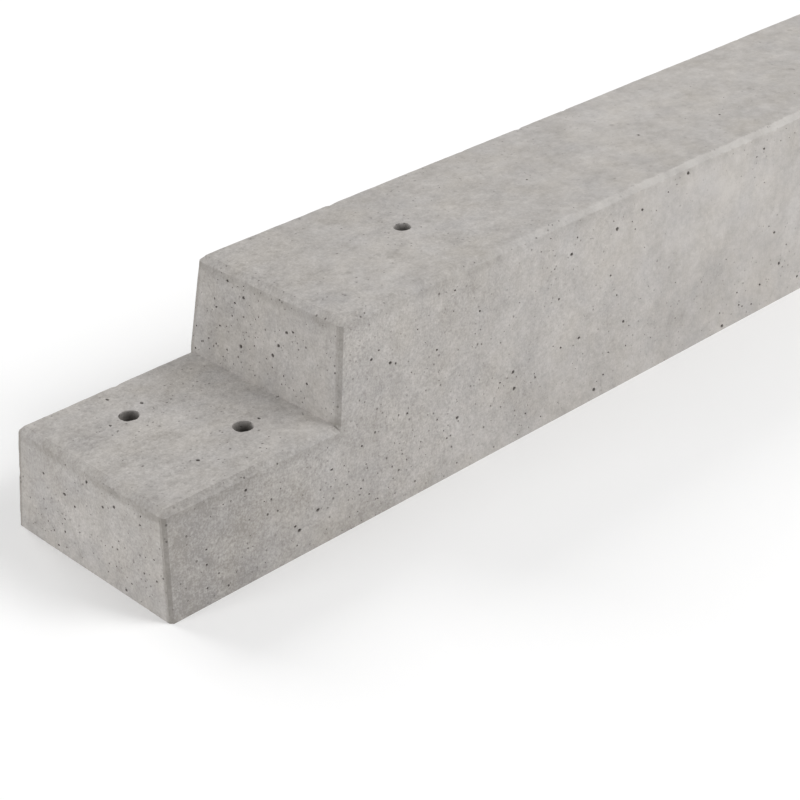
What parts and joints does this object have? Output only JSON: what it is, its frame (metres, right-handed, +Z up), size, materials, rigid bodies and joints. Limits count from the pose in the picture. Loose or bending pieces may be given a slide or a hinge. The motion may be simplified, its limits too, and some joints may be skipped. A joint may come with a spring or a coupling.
{
  "type": "parking wheel stop",
  "caption": "Precast concrete wheel stop with a lowered step at each end, chamfered arrises, pin holes and a steel cage inside.",
  "frame": {"origin": "centre of the underside, on the ground", "axes": "+X along the length, +Y across, +Z up; -X is the end called left"},
  "size_m": [1.8, 0.17, 0.15],
  "materials": {
    "cast_concrete": "fair-faced from a steel mould, matte, with fine pores",
    "ribbed_steel": "hot rolled with two rows of ribs, mill scale and light rust",
    "drawn_wire": "cold drawn, dull, with light rust",
    "annealed_wire": "black annealed",
    "moulded_polypropylene": "moulded, matte grey"
  },
  "bodies": {
    "root": {"bottom_bar_far": "ribbed_steel", "bottom_bar_near": "ribbed_steel", "concrete_body": "cast_concrete", "hairpin_left": "ribbed_steel", "hairpin_right": "ribbed_steel", "link_1": "drawn_wire", "link_2": "drawn_wire", "link_3": "drawn_wire", "link_4": "drawn_wire", "link_5": "drawn_wire", "link_6": "drawn_wire", "link_7": "drawn_wire", "link_8": "drawn_wire", "link_9": "drawn_wire", "spacer_1_far": "moulded_polypropylene", "spacer_1_near": "moulded_polypropylene", "spacer_1_top": "moulded_polypropylene", "spacer_5_far": "moulded_polypropylene", "spacer_5_near": "moulded_polypropylene", "spacer_5_top": "moulded_polypropylene", "spacer_9_far": "moulded_polypropylene", "spacer_9_near": "moulded_polypropylene", "spacer_9_top": "moulded_polypropylene", "spacer_step_left": "moulded_polypropylene", "spacer_step_right": "moulded_polypropylene", "step_link_left_1": "drawn_wire", "step_link_left_2": "drawn_wire", "step_link_left_3": "drawn_wire", "step_link_right_1": "drawn_wire", "step_link_right_2": "drawn_wire", "step_link_right_3": "drawn_wire", "step_ties_left_1": "annealed_wire", "step_ties_left_2": "annealed_wire", "step_ties_left_3": "annealed_wire", "step_ties_right_1": "annealed_wire", "step_ties_right_2": "annealed_wire", "step_ties_right_3": "annealed_wire", "ties_1": "annealed_wire", "ties_2": "annealed_wire", "ties_3": "annealed_wire", "ties_4": "annealed_wire", "ties_5": "annealed_wire", "ties_6": "annealed_wire", "ties_7": "annealed_wire", "ties_8": "annealed_wire", "ties_9": "annealed_wire", "top_bar_far": "ribbed_steel", "top_bar_near": "ribbed_steel"}
  },
  "joints": []
}
